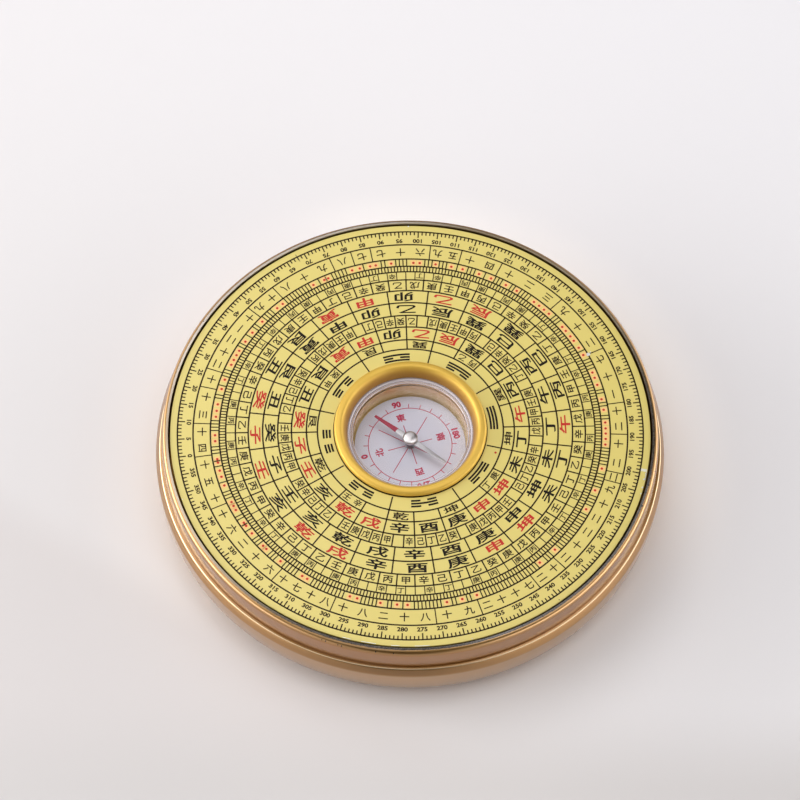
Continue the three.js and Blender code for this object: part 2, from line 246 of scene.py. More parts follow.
# Trigrams anticlockwise from the right of the dial, each from its innermost line outwards
TRIGRAMS = ("111", "011", "101", "001", "000", "100", "010", "110")
TRIGRAM_TURN = 10
TRIGRAM_RADII = (16.75, 17.4, 18.05)
TRIGRAM_SPOKE_R = 16.2
TRIGRAM_BAR = 0.42
TRIGRAM_HALF = 9
TRIGRAM_GAP = 2.4

# Print on the small compass's card
CARD_NORTH = 197.5
CARD_LINE = 0.16
CARD_CIRCLE_R = 8.75
CARD_TICK = (8.8, 9.75)
CARD_SPOKE_START = 0.6
CARD_SPOKE_ENDS = (4.8, 7.5)
CARD_SIGN_R = 6.65
CARD_SIGN = (1.7, 1.7)
CARD_DEGREE_R = 9.95
CARD_DEGREE = (1.0, 1.45)

DIRECTIONS = "子癸丑艮寅甲卯乙辰巽巳丙午丁未坤申庚酉辛戌乾亥壬"
STEMS = "甲乙丙丁戊己庚辛壬癸"
RED_DIRECTIONS = "午辰乙甲寅癸子壬乾戌申坤"
CORNER_SIGNS = ("乾壬辛", "艮癸甲", "巽丙乙", "坤丁庚")
NUMERALS = "零一二三四五六七八九"
# Rings of directions between two circles: angle of the first, width, height, and which are red
DIRECTION_RINGS = (
    (1, 2, 190, 3.7, 2.2, RED_DIRECTIONS),
    (3, 4, 197.2, 4.0, 2.15, ""),
    (4, 5, 183, 4.0, 2.2, RED_DIRECTIONS),
)
# Rings of stems between two circles: angle of the first, step, width and height
STEM_RINGS = ((2, 3, 210, 5, 1.45, 1.75), (5, 6, 215, 6, 1.9, 1.7))
PAIR_TURN = (201.5, 207.5)
PAIR_SIGN = (1.35, 1.25)
# Signs of the inner ring: angles from the start of each quarter, width and height
CORNER_PLACES = ((16.3, 2.9, 1.6), (76.5, 2.9, 1.6))
MIDDLE_PLACES = ((42.5, 1.6, 1.5), (50, 1.6, 1.5))
# Edges of the cells of uneven width in each quarter, in degrees from its start
CELL_EDGES = (
    (0.6, 16.8, 43.2, 60.8, 88.8),
    (3.1, 8.5, 14.6, 32.5, 41.6, 63.2, 69, 80.4),
    (0.6, 18, 36.6, 56.2, 67.8, 76.5),
    (11, 27.8, 36.5, 65.8, 68.8, 80.8),
)
# Dark marks on the rim: angle, distance from the axis, and size
RIM_MARKS = (
    (-20, 50.65, 0.3), (-12.4, 50.65, 0.16), (-14.3, 50.6, 0.3), (-16.3, 50.6, 0.2), (-10.2, 51.3, 0.14),
    (262.7, 51.3, 0.14), (266.7, 51.3, 0.12), (233, 50.6, 0.14), (247, 50.55, 0.12), (250.2, 51.36, 0.1),
    (251.1, 51.38, 0.12), (254, 51.38, 0.1), (254.9, 51.4, 0.12), (305, 50.6, 0.14), (322, 50.55, 0.16),
    (15, 50.6, 0.14), (61, 50.6, 0.12), (150, 50.6, 0.14),
)
# Silver chips at the plate's edge: angle, distance from the axis, and size
EDGE_CHIPS = (
    (-11.4, 49.6, 0.32), (-12.9, 49.55, 0.45), (-15.2, 49.6, 0.36), (-16.9, 49.6, 0.3),
    (91, 49.6, 0.34), (285, 49.55, 0.2), (200, 49.6, 0.2), (348, 49.6, 0.25),
)
# Bare stretches of the plate's edge, in degrees: the first is worn, the rest on the near side are painted
# glints where the edge catches the light
EDGE_WEAR_AND_GLINTS = ((-13, -10.9), (254.5, 256.5), (259, 262.5), (266, 268), (271.5, 275))
# Places of the red dots in each quarter, in degrees from its start
DOTS = (
    (2.2, 3.4, 6.1, 8.2, 11.2, 17.1, 18.5, 20, 24.8, 26, 29, 34.2, 35.6, 41.3, 49.2, 50.9, 64.4,
     66.6, 73.4, 78.2, 81.2),
    (2.5, 4.2, 7.4, 9.8, 17.5, 18.8, 22.5, 33.8, 36, 42.4, 47.2, 50.9, 54.5, 56.2, 58, 59.8, 65.2,
     68.5, 73.8, 76, 78, 84.2, 86.2),
    (2.5, 7.5, 10, 11.9, 18.4, 21.2, 24, 25.8, 28.1, 29.8, 35.8, 37.8, 39.8, 41.8, 48.2, 52, 57,
     60.9, 66.1, 69.6, 74.4, 79.2, 81.1, 87.8),
    (2.5, 7, 11.4, 32.5, 38.6, 54.8, 61.6, 69.1, 77.2, 79.1, 80.9, 82.6, 84.6, 88.9),
)

# Half the floor in millimetres, then room and softboxes in metres: each softbox has its elevation
# and azimuth in degrees, width, height and power
FLOOR_HALF = 330
LAMP_DISTANCE = 0.7
RIGHT_WALL = 6.9
LEFT_WALL = 5.6
LAMPS = (
    (60, 135, 0.44, 0.44, 1.48),
    (60, 0, 0.5, 0.5, 1.18),
    (42, 180, 0.5, 0.5, 1.05),
    (85, 0, 0.31, 0.31, 0.56),
    (60, 240, 0.31, 0.31, 0.30),
    (45, 90, 0.31, 0.31, 0.27),
    (16, 165, 0.31, 0.23, 0.94),
    (16, 190, 0.31, 0.23, 0.74),
    (16, 215, 0.31, 0.23, 0.36),
    (20, 308, 0.31, 0.23, 0.22),
)

rng = random.Random(7)


# Shapes

def ellipse(centre_r, centre_z, half_r, half_z, start, end, steps):
    points = []
    for i in range(steps + 1):
        angle = math.radians(start + (end - start) * i / steps)
        points.append((centre_r + half_r * math.cos(angle), centre_z + half_z * math.sin(angle)))
    return points


def ray(angle):
    a = math.radians(angle)
    return Vector((math.cos(a), math.sin(a)))


def curve(start, control, end, steps):
    points = []
    for i in range(steps + 1):
        t = i / steps
        points.append(tuple(
            (1 - t) ** 2 * a + 2 * t * (1 - t) * b + t ** 2 * c
            for a, b, c in zip(start, control, end)))
    return points


# A profile's corners, each rounded where its point has a third value, the radius
def rounded(points, steps=4):
    result = []
    count = len(points)
    for i, point in enumerate(points):
        corner = Vector(point[:2])
        size = point[2] if len(point) > 2 else 0
        if not size:
            result.append(tuple(corner))
            continue
        before = Vector(points[i - 1][:2]) - corner
        after = Vector(points[(i + 1) % count][:2]) - corner
        size = min(size, before.length * 0.45, after.length * 0.45)
        start = corner + before.normalized() * size
        end = corner + after.normalized() * size
        result += curve(start, corner, end, steps)
    return result


def mesh_piece(name, verts, faces, smooth_angle=35):
    mesh = bpy.data.meshes.new(name)
    mesh.from_pydata([Vector(v) * MM for v in verts], [], faces)
    mesh.update()
    piece = bpy.data.objects.new(name, mesh)
    bpy.context.collection.objects.link(piece)
    shade(piece, smooth_angle)
    return piece


def shade(piece, smooth_angle=35):
    mesh = piece.data
    mesh.polygons.foreach_set("use_smooth", [True] * len(mesh.polygons))
    mesh.set_sharp_from_angle(angle=math.radians(smooth_angle))
    mesh.update()


# A closed solid of revolution about Z, its profile run anticlockwise
def lathe(name, profile, sides=CASE_SIDES, centre=(0, 0)):
    verts = []
    rings = []
    for r, z in profile:
        steps = sides if r > 1e-6 else 1
        rings.append(range(len(verts), len(verts) + steps))
        for k in range(steps):
            angle = 2 * math.pi * k / sides
            verts.append((centre[0] + r * math.cos(angle), centre[1] + r * math.sin(angle), z))
    faces = []
    for i, lower in enumerate(rings):
        upper = rings[(i + 1) % len(rings)]
        if len(lower) == 1 and len(upper) == 1:
            continue
        for k in range(sides):
            n = (k + 1) % sides
            if len(lower) == 1:
                faces.append((lower[0], upper[n], upper[k]))
            elif len(upper) == 1:
                faces.append((lower[k], lower[n], upper[0]))
            else:
                faces.append((lower[k], lower[n], upper[n], upper[k]))
    return mesh_piece(name, verts, faces)


# Corners and faces of an upright block with a flat outline, run anticlockwise
def prism(outline, bottom, height):
    count = len(outline)
    verts = [(x, y, bottom) for x, y in outline] + [(x, y, height) for x, y in outline]
    faces = [tuple(range(count - 1, -1, -1)), tuple(range(count, 2 * count))]
    for i in range(count):
        n = (i + 1) % count
        faces.append((i, n, count + n, count + i))
    return verts, faces


def rod(name, radius, bottom, height, sides=SMALL_SIDES, centre=(0, 0)):
    profile = [(0, bottom), (radius, bottom), (radius, height), (0, height)]
    return lathe(name, profile, sides, centre)


def brick(name, centre, size):
    verts = []
    for dx in (-0.5, 0.5):
        for dy in (-0.5, 0.5):
            for dz in (-0.5, 0.5):
                verts.append((centre[0] + dx * size[0], centre[1] + dy * size[1],
                              centre[2] + dz * size[2]))
    faces = [(0, 1, 3, 2), (4, 6, 7, 5), (0, 4, 5, 1), (2, 3, 7, 6), (0, 2, 6, 4), (1, 5, 7, 3)]
    return mesh_piece(name, verts, faces)


# Joins tools to a piece, or cuts them from it, and leaves one mesh
def combine(piece, tools, operation):
    for tool in tools:
        modifier = piece.modifiers.new("combine", "BOOLEAN")
        modifier.operation = operation
        modifier.solver = "EXACT"
        modifier.object = tool
    evaluated = piece.evaluated_get(bpy.context.evaluated_depsgraph_get())
    mesh = bpy.data.meshes.new_from_object(evaluated)
    piece.modifiers.clear()
    piece.data = mesh
    for tool in tools:
        bpy.data.objects.remove(tool)
    shade(piece)
    return piece


def rim_screw_places():
    places = []
    for i in range(4):
        angle = math.radians(RIM_SCREW_TURN + 90 * i)
        places.append((RIM_SCREW_CIRCLE * math.cos(angle), RIM_SCREW_CIRCLE * math.sin(angle)))
    return places


# Materials

def rgb(code):
    values = []
    for i in range(0, 6, 2):
        value = int(code[i:i + 2], 16) / 255
        values.append(value / 12.92 if value <= 0.04045 else ((value + 0.055) / 1.055) ** 2.4)
    return (*values, 1)


# Short calls that build a node tree
class Nodes:
    def __init__(self, tree):
        self.tree = tree

    def node(self, kind, **settings):
        node = self.tree.nodes.new(kind)
        for key, value in settings.items():
            setattr(node, key, value)
        return node

    def put(self, socket, value):
        if isinstance(value, bpy.types.NodeSocket):
            self.tree.links.new(value, socket)
        else:
            socket.default_value = rgb(value) if isinstance(value, str) else value

    def math(self, operation, a, b=0.0, clamp=False):
        node = self.node("ShaderNodeMath", operation=operation, use_clamp=clamp)
        self.put(node.inputs[0], a)
        self.put(node.inputs[1], b)
        return node.outputs[0]

    def times(self, a, b):
        return self.math("MULTIPLY", a, b)

    # The sum a * k + b * m
    def weigh(self, a, k, b, m):
        return self.math("ADD", self.times(a, k), self.times(b, m))

    def split(self, vector):
        node = self.node("ShaderNodeSeparateXYZ")
        self.put(node.inputs[0], vector)
        return node.outputs

    def join(self, x, y, z):
        node = self.node("ShaderNodeCombineXYZ")
        for socket, value in zip(node.inputs, (x, y, z)):
            self.put(socket, value)
        return node.outputs[0]

    # Distance from the axis and angle round it, in degrees
    def polar(self, vector):
        x, y, z = self.split(vector)
        angle = self.times(self.math("ARCTAN2", y, x), 180 / math.pi)
        return self.math("SQRT", self.weigh(x, x, y, y)), angle, z

    def noise(self, vector, scale, detail=2.0, roughness=0.5):
        node = self.node("ShaderNodeTexNoise")
        self.put(node.inputs["Vector"], vector)
        node.inputs["Scale"].default_value = scale
        node.inputs["Detail"].default_value = detail
        node.inputs["Roughness"].default_value = roughness
        return node.outputs["Fac"]

    # Brings a value from one range to another, with soft ends
    def fit(self, value, low, high, out_low=0.0, out_high=1.0, smooth=True):
        node = self.node("ShaderNodeMapRange",
                         interpolation_type="SMOOTHSTEP" if smooth else "LINEAR")
        for socket, number in zip(node.inputs[:5], (value, low, high, out_low, out_high)):
            self.put(socket, number)
        return node.outputs[0]

    # One between two values, nothing outside them
    def within(self, value, low, high, soft=0.04):
        return self.times(self.fit(value, low - soft, low), self.fit(value, high + soft, high))

    def mix(self, factor, a, b):
        node = self.node("ShaderNodeMix", data_type="RGBA")
        self.put(node.inputs["Factor"], factor)
        self.put(node.inputs[6], a)
        self.put(node.inputs[7], b)
        return node.outputs[2]


# A material with its nodes, and the place on the surface in millimetres
class Finish(Nodes):
    def __init__(self, name):
        self.material = bpy.data.materials.new(name)
        self.material.use_nodes = True
        super().__init__(self.material.node_tree)
        self.shader = self.tree.nodes["Principled BSDF"]
        scaled = self.node("ShaderNodeVectorMath", operation="SCALE")
        self.put(scaled.inputs[0], self.node("ShaderNodeTexCoord").outputs["Object"])
        scaled.inputs["Scale"].default_value = 1 / MM
        self.place = scaled.outputs[0]

    def set(self, **values):
        for key, value in values.items():
            self.put(self.shader.inputs[key.replace("_", " ")], value)
        return self

    # A ragged blot round an upright line, given by its distance from the axis and its angle
    def blot(self, radius, angle, size):
        x, y, _ = self.split(self.place)
        centre = ray(angle) * radius
        dx = self.math("SUBTRACT", x, centre.x)
        dy = self.math("SUBTRACT", y, centre.y)
        grain = self.times(self.noise(self.place, 2.6, 3, 0.6), size)
        away = self.math("ADD", self.math("SQRT", self.weigh(dx, dx, dy, dy)), grain)
        return self.fit(away, 1.5 * size, 1.2 * size)

    def bump(self, height, distance, strength=1.0):
        node = self.node("ShaderNodeBump")
        self.put(node.inputs["Height"], height)
        node.inputs["Distance"].default_value = distance * MM
        node.inputs["Strength"].default_value = strength
        self.put(self.shader.inputs["Normal"], node.outputs[0])
        return self


# Fine rings left by the lathe, as a height for bump
def turning_lines(f, radius, z, per_mm):
    lines = f.join(f.times(radius, per_mm), f.times(z, per_mm), 0.0)
    return f.noise(lines, 1.0, 3, 0.7)


def case_metal(name, dark, light, lip=False):
    f = Finish(name)
    radius, _, z = f.polar(f.place)
    cloud = f.noise(f.place, 0.06, 3)
    colour = f.mix(cloud, dark, light)
    specks = f.fit(f.noise(f.place, 2.2, 3, 0.6), 0.7, 0.78)
    colour = f.mix(f.times(specks, 0.35), colour, "8a6a48")
    fine = turning_lines(f, radius, z, 9)
    roughness = f.fit(f.weigh(cloud, 0.5, fine, 0.5), 0.3, 0.7, 0.31, 0.39)
    if lip:
        # Painted shade: the band below the crown is painted a darker, deeper orange than the crown, for
        # the darker room it reflects
        colour = f.mix(f.fit(z, FACE - 0.35, FACE - 0.9), colour, "a8722f")
        ragged = f.times(f.math("SUBTRACT", f.noise(f.place, 1.6, 4, 0.7), 0.5), 0.35)
        edge = f.math("ADD", radius, ragged)
        bare = f.times(f.fit(edge, LIP_R + 0.12, LIP_R + 0.04), f.fit(z, FACE - 0.25, FACE - 0.1))
        mottle = f.fit(f.noise(f.place, 3.1, 4, 0.75), 0.38, 0.62)
        grey = f.mix(mottle, "2c2520", "655a50")
        # Painted highlight: the bare lip is painted lighter towards the far left, where it faces the
        # light; the mottled grey itself is worn plating
        x, y, _ = f.split(f.place)
        slope = f.weigh(y, 0.8, x, -0.6)
        grey = f.mix(f.fit(slope, -30, 8), grey, "a8967c")
        grey = f.mix(f.fit(slope, 28, 46), grey, "ddd2c6")
        colour = f.mix(bare, colour, grey)
        roughness = f.math("ADD", roughness, f.times(bare, 0.2))
        for angle, distance, size in RIM_MARKS:
            colour = f.mix(f.blot(distance, angle, size), colour, "17110b")
    else:
        # Painted shade: the shoulder's slope is painted a darker brown, for the dark room it reflects
        shoulder = f.fit(z, SPLIT - 2.3, SPLIT - 1.3)
        colour = f.mix(shoulder, colour, "9e733f")
        # Painted highlight: a thin pale line along the shoulder's rounded edge, where it catches the light
        wear_and_highlight = f.times(f.within(radius, SHOULDER_R - 0.1, SHOULDER_R, 0.06),
                         f.fit(z, SPLIT - 0.4, SPLIT - 0.25))
        colour = f.mix(wear_and_highlight, colour, "f0d5a8")
    f.set(Base_Color=colour, Roughness=roughness, Metallic=1.0, Coat_Weight=1.0, Coat_Roughness=0.15,
          Coat_IOR=1.62)
    return f.bump(fine, 0.004, 0.6).material


def printed_yellow():
    f = Finish("printed_yellow")
    cloud = f.noise(f.place, 0.035, 2)
    grain = f.noise(f.place, 3.5, 3, 0.6)
    colour = f.mix(cloud, "dac76b", "dfcc75")
    colour = f.mix(f.times(grain, 0.12), colour, "bba94f")
    roughness = f.fit(grain, 0.3, 0.7, 0.38, 0.46)
    f.set(Base_Color=colour, Roughness=roughness, Coat_Weight=0.25, Coat_Roughness=0.2)
    return f.bump(f.noise(f.place, 1.2, 3), 0.01, 0.35).material


def ink(name, code, worn=0.15):
    f = Finish(name)
    patches = f.fit(f.noise(f.place, 1.8, 3, 0.65), 0.35, 0.75)
    light = tuple(min(1, v + worn * 0.25) for v in rgb(code)[:3]) + (1,)
    colour = f.mix(patches, code, light)
    f.set(Base_Color=colour, Roughness=f.fit(patches, 0, 1, 0.45, 0.6), Specular_IOR_Level=0.2)
    return f.bump(f.noise(f.place, 8, 2), 0.004, 0.5).material


def polished_gold():
    f = Finish("polished_gold")
    radius, _, z = f.polar(f.place)
    fine = turning_lines(f, radius, z, 14)
    cloud = f.noise(f.place, 0.2, 2)
    colour = f.mix(cloud, "d4aa42", "dcb44e")
    # Painted shade: the inner slope is painted darker brown towards the window, where it lies in shade and
    # reflects the darker plate
    corner = f.fit(radius, BEZEL_INNER_R + 1.2, BEZEL_INNER_R + 0.1, 0, 0.75)
    colour = f.mix(corner, colour, "93602a")
    f.set(Base_Color=colour, Metallic=0.42, Roughness=f.fit(fine, 0.3, 0.7, 0.4, 0.48))
    return f.bump(fine, 0.0015, 0.6).material


def black_plastic():
    f = Finish("black_plastic")
    grain = f.noise(f.place, 4, 3, 0.6)
    colour = f.mix(grain, "100f0e", "201e1c")
    f.set(Base_Color=colour, Roughness=f.fit(grain, 0.3, 0.7, 0.5, 0.65))
    return f.bump(grain, 0.02, 0.4).material


# A thin clear pane that reflects as plastic does and lets the rest through, a hazy ledge round it,
# and frosted edges with a line of painted shade next to each
def window_plastic():
    f = Finish("window_plastic")
    radius = f.polar(f.place)[0]
    haze = f.noise(f.place, 0.5, 2)
    gloss = f.node("ShaderNodeFresnel")
    gloss.inputs["IOR"].default_value = 1.49
    ledge = f.fit(radius, WINDOW_CLEAR_R - 0.02, WINDOW_CLEAR_R + 0.02)
    clear = f.math("SUBTRACT", 1.0, ledge)
    frosted = f.math("ADD", f.within(radius, WINDOW_CLEAR_R, WINDOW_CLEAR_R + WINDOW_EDGE),
                     f.within(radius, WINDOW_STEP_R, WINDOW_STEP_R + WINDOW_STEP))
    # Painted shade: a thin dark line beside each frosted edge
    dark = f.math("ADD", f.within(radius, WINDOW_CLEAR_R + 0.14, WINDOW_CLEAR_R + 0.18),
                  f.within(radius, WINDOW_STEP_R - 0.1, WINDOW_STEP_R - 0.06))
    milk = f.mix(haze, "ece3e9", "f7eff3")
    f.set(Base_Color=f.mix(dark, milk, "7d6a70"), Metallic=clear,
          Roughness=f.fit(haze, 0.3, 0.7, 0.06, 0.12))
    inside = f.node("ShaderNodeNewGeometry").outputs["Backfacing"]
    outer_gloss = f.times(gloss.outputs[0], f.math("SUBTRACT", 1.0, inside))
    see = f.math("ADD", f.times(outer_gloss, clear), f.times(ledge, 0.22))
    see = f.math("ADD", see, f.times(frosted, 0.45))
    f.set(Alpha=f.math("ADD", see, f.times(dark, 0.35)), Coat_Weight=ledge, Coat_Roughness=0.05)
    return f.material


# Milky edge, and an inner wall painted with a warm reflection of the gold ring round it, darker towards
# the top
def cup_plastic():
    f = Finish("cup_plastic")
    radius, _, z = f.polar(f.place)
    haze = f.noise(f.place, 0.5, 2)
    milk = f.mix(haze, "c3b3ae", "d0c2be")
    # Painted reflection: warm gold tone on the inner wall, darker towards the top
    wall_reflection = f.mix(f.fit(z, CARD_TOP, LENS_UNDER), "e6c98c", "d2a669")
    inside = f.fit(radius, CUP_WINDOW_R + 0.12, CUP_WINDOW_R + 0.02)
    f.set(Base_Color=f.mix(inside, milk, wall_reflection), Roughness=f.fit(haze, 0.3, 0.7, 0.2, 0.3))
    f.set(Coat_Weight=0.8, Coat_Roughness=0.06)
    return f.material


def card_paper():
    f = Finish("card_paper")
    cloud = f.noise(f.place, 0.15, 2)
    fibre = f.noise(f.place, 9, 4, 0.7)
    colour = f.mix(cloud, "d7d7e8", "dedfee")
    f.set(Base_Color=f.mix(f.times(fibre, 0.1), colour, "b5b1c4"),
          Roughness=f.fit(fibre, 0.3, 0.7, 0.5, 0.6))
    return f.bump(fibre, 0.006, 0.4).material


def bare_metal(name, dark, light, rough_low, rough_high, scale=1.5):
    f = Finish(name)
    radius, _, z = f.polar(f.place)
    fine = turning_lines(f, radius, z, 11)
    cloud = f.noise(f.place, scale, 3, 0.6)
    f.set(Base_Color=f.mix(cloud, dark, light), Metallic=1.0,
          Roughness=f.fit(fine, 0.3, 0.7, rough_low, rough_high))
    return f.bump(fine, 0.003, 0.5).material


# Steel blade, its north half painted red from a short way out of the middle to the tip
def needle_paint():
    f = Finish("needle_steel_and_red")
    x, y, _ = f.split(f.place)
    heading = math.radians(NEEDLE_HEADING)
    along = f.weigh(x, math.cos(heading), y, math.sin(heading))
    edge = f.math("ADD", along, f.times(f.noise(f.place, 3, 2), 0.3))
    red = f.fit(edge, NEEDLE_RED_FROM, NEEDLE_RED_FROM + 0.1)
    brushed = f.noise(f.join(f.times(along, 0.8), f.times(y, 18), 0.0), 1.0, 3)
    steel = f.mix(brushed, "b4b2b5", "c8c6c9")
    paint = f.mix(f.noise(f.place, 2.5, 3), "a02640", "ae324a")
    f.set(Base_Color=f.mix(red, steel, paint), Metallic=f.math("SUBTRACT", 1.0, red),
          Roughness=f.fit(brushed, 0.3, 0.7, 0.4, 0.55))
    return f.bump(brushed, 0.002, 0.4).material


def nylon():
    f = Finish("white_nylon")
    cloud = f.noise(f.place, 0.8, 3)
    f.set(Base_Color=f.mix(cloud, "dedad0", "eeeae2"),
          Roughness=f.fit(cloud, 0.3, 0.7, 0.4, 0.55))
    return f.bump(cloud, 0.01, 0.3).material


def jewel_glass():
    f = Finish("jewel_glass")
    f.set(Base_Color=f.mix(f.noise(f.place, 2, 2), "a02a44", "c04058"),
          Roughness=f.fit(f.noise(f.place, 6, 2), 0.3, 0.7, 0.05, 0.12))
    return f.material


# Places a finished piece, in its material, on its body, in place of its node
def seat(piece, material, body, slot, *nodes):
    piece.data.materials.clear()
    piece.data.materials.append(material)
    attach(piece, body)
    if nodes:
        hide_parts(*nodes)


# Case

def case_base():
    crease = SPLIT - CREASE_DROP
    widest = SPLIT - WIDEST_DROP
    corner_r, corner_z = INNER_CORNER
    lower = ellipse(FOOT_R, widest, CASE_R - FOOT_R, widest, -90, 0, 28)
    inner = curve((WALL_INNER_R, FLOOR_TOP + corner_z), (WALL_INNER_R, FLOOR_TOP),
                  (WALL_INNER_R - corner_r, FLOOR_TOP), 12)
    profile = rounded([
        (0, FOOT_RECESS),
        (FOOT_EDGE_R, FOOT_RECESS, 0.2),
        (FOOT_EDGE_R, 0, 0.25),
        *lower,
        (CASE_R, crease, 0.12),
        (SHOULDER_R, SPLIT - SHOULDER_DROP, 0.3),
        (SEAT_EDGE_R, SPLIT - 0.02, 0.05),
        (WALL_INNER_R, SPLIT, 0.15),
        *inner,
        (HUB_BOSS_R, FLOOR_TOP, 0.5),
        (HUB_BOSS_R, BUSH_SEAT, 0.3),
        (0, BUSH_SEAT),
    ])
    tray = lathe("case_lower_half", profile)
    bosses = [rod("boss", SCREW_BOSS_R, FOOT_RECESS + SCREW_BOSS_SINK, SPLIT, centre=c)
              for c in rim_screw_places()]
    combine(tray, bosses, "UNION")
    cuts = [
        rod("hub_room", RETAINING_ROOM_R, -1, FLOOR_TOP, HUB_SIDES),
        rod("bush_bore", BUSH_R + FIT_GAP, -1, SPLIT, HUB_SIDES),
    ]
    for place in rim_screw_places():
        cuts.append(rod("screw_hole", SCREW_HOLE_R, -1, SPLIT + 1, centre=place))
        cuts.append(rod("head_room", SCREW_HEAD_ROOM_R, -1, SCREW_SEAT, centre=place))
    combine(tray, cuts, "DIFFERENCE")
    seat(tray, case_metal("champagne_metal", "b48b59", "bd9462"), "case", "case_metal", "case_base")


def case_rim():
    foot_r = RIM_R - BAND_INSET
    knee = (foot_r - BAND_LEAN, FACE - KNEE_DROP)
    edge_z = FACE + LIP_EDGE_RISE
    crown = curve(knee, (knee[0] - CROWN_LEAN, FACE), (LIP_R, edge_z), 24)
    profile = rounded([
        (FLANGE_INNER_R, SPLIT, 0.1),
        (foot_r, SPLIT, 0.06),
        *crown[:-1],
        (LIP_R, edge_z, 0.06),
        (RIM_BORE_R, RIM_TOP, 0.1),
        (RIM_BORE_R, SPLIT + FLANGE_THICKNESS, 0.3),
        (FLANGE_INNER_R, SPLIT + FLANGE_THICKNESS, 0.2),
    ])
    ring = lathe("case_upper_ring", profile)
    holes = [rod("screw_hole", SCREW_HOLE_R, SPLIT - 1, SPLIT + SCREW_HOLE_DEPTH, centre=c)
             for c in rim_screw_places()]
    combine(ring, holes, "DIFFERENCE")
    metal = case_metal("champagne_metal_with_bare_lip", "ad8149", "b68a51", lip=True)
    seat(ring, metal, "case", "case_metal", "case_rim")


def screw(name, radius, head_r, head, seat_z, tip, centre=(0, 0), turn=0):
    x, y = centre
    body = lathe(name, rounded([
        (0, seat_z - head),
        (head_r, seat_z - head, head * 0.55),
        (head_r, seat_z, 0.05),
        (radius, seat_z),
        (radius, tip - radius / 2, 0.1),
        (radius / 2, tip, 0.1),
        (0, tip),
    ]), SMALL_SIDES, centre)
    arms = []
    for quarter in (0, 90):
        arm = brick("arm", (0, 0, seat_z - head), (head_r * 1.3, RECESS_WIDTH, 2 * RECESS_DEPTH))
        spin = Matrix.Rotation(math.radians(turn + quarter), 4, "Z")
        arm.data.transform(Matrix.Translation((x * MM, y * MM, 0)) @ spin)
        arms.append(arm)
    return combine(body, arms, "DIFFERENCE")


def screws(steel):
    for i, place in enumerate(rim_screw_places()):
        node = f"rim_screw_{i + 1}"
        piece = screw(f"case_screw_{i + 1}", RIM_SCREW_R, RIM_SCREW_HEAD_R, RIM_SCREW_HEAD,
                      SCREW_SEAT, top(node), place, rng.uniform(0, 90))
        seat(piece, steel, "case", "screw_steel", node)
    seat_z = JOURNAL_END - RETAINING_WASHER_THICKNESS
    piece = screw("journal_screw", HUB_SCREW_R, HUB_SCREW_HEAD_R, HUB_SCREW_HEAD, seat_z,
                  top("hub_screw"), turn=20)
    seat(piece, steel, "dial", "screw_steel", "hub_screw")


def washer(name, inner, outer, low, high, low_edge=0.05):
    return lathe(name, rounded([
        (inner, low, 0.05),
        (outer, low, low_edge),
        (outer, high, 0.05),
        (inner, high, 0.05),
    ]), HUB_SIDES)


def bearing(brass, plastic):
    bush = lathe("flanged_bush", rounded([
        (BUSH_BORE_R, FLOOR_TOP, 0.1),
        (BUSH_R, FLOOR_TOP, 0.1),
        (BUSH_R, BUSH_SEAT),
        (BUSH_FLANGE_R, BUSH_SEAT, 0.1),
        (BUSH_FLANGE_R, BUSH_TOP, 0.1),
        (BUSH_BORE_R, BUSH_TOP, 0.1),
    ]), HUB_SIDES)
    seat(bush, brass, "case", "bush_brass", "hub_bush")
    glide = washer("sliding_washer", BUSH_BORE_R, GLIDE_WASHER_R, BUSH_TOP, HUB_UNDER)
    seat(glide, plastic, "case", "washer_plastic", "glide_washer")
    low = JOURNAL_END - RETAINING_WASHER_THICKNESS
    keeper = washer("keeper_washer", HUB_SCREW_R + FIT_GAP, RETAINING_WASHER_R, low, JOURNAL_END, 0.12)
    seat(keeper, brass, "dial", "bush_brass", "retaining_washer")


# Dial

def turntable():
    plate_low = PLATE_UNDER - TURNTABLE_THICKNESS
    hole_end = WELL_FLOOR - WELL_FLOOR_THICKNESS
    profile = rounded([
        (0, hole_end),
        (HUB_SCREW_R + FIT_GAP, hole_end),
        (HUB_SCREW_R + FIT_GAP, JOURNAL_END, 0.05),
        (JOURNAL_R, JOURNAL_END, 0.1),
        (JOURNAL_R, HUB_UNDER),
        (HUB_R - HUB_CHAMFER, HUB_UNDER, 0.2),
        (HUB_R, HUB_UNDER + HUB_CHAMFER, 0.2),
        (HUB_R, plate_low, 0.4),
        (TURNTABLE_R - SKIRT_WIDTH, plate_low, 0.3),
        (TURNTABLE_R - SKIRT_WIDTH, SKIRT_UNDER, 0.15),
        (TURNTABLE_R, SKIRT_UNDER, 0.15),
        (TURNTABLE_R, PLATE_UNDER, 0.1),
        (BEZEL_BORE_R, PLATE_UNDER),
        (BEZEL_BORE_R, CUP_TOP - BEZEL_SEAT_DROP),
        (WELL_R, CUP_TOP - BEZEL_SEAT_DROP),
        (WELL_R, WELL_FLOOR),
        (0, WELL_FLOOR),
    ])
    seat(lathe("black_turntable", profile), black_plastic(), "dial", "turntable_plastic", "turntable")


def dial_plate():
    profile = rounded([
        (BEZEL_BORE_R, PLATE_UNDER),
        (DIAL_R, PLATE_UNDER, 0.08),
        (DIAL_R, FACE, 0.12),
        (BEZEL_BORE_R, FACE),
    ])
    seat(lathe("yellow_dial", profile), printed_yellow(), "dial", "dial_print", "dial_plate")


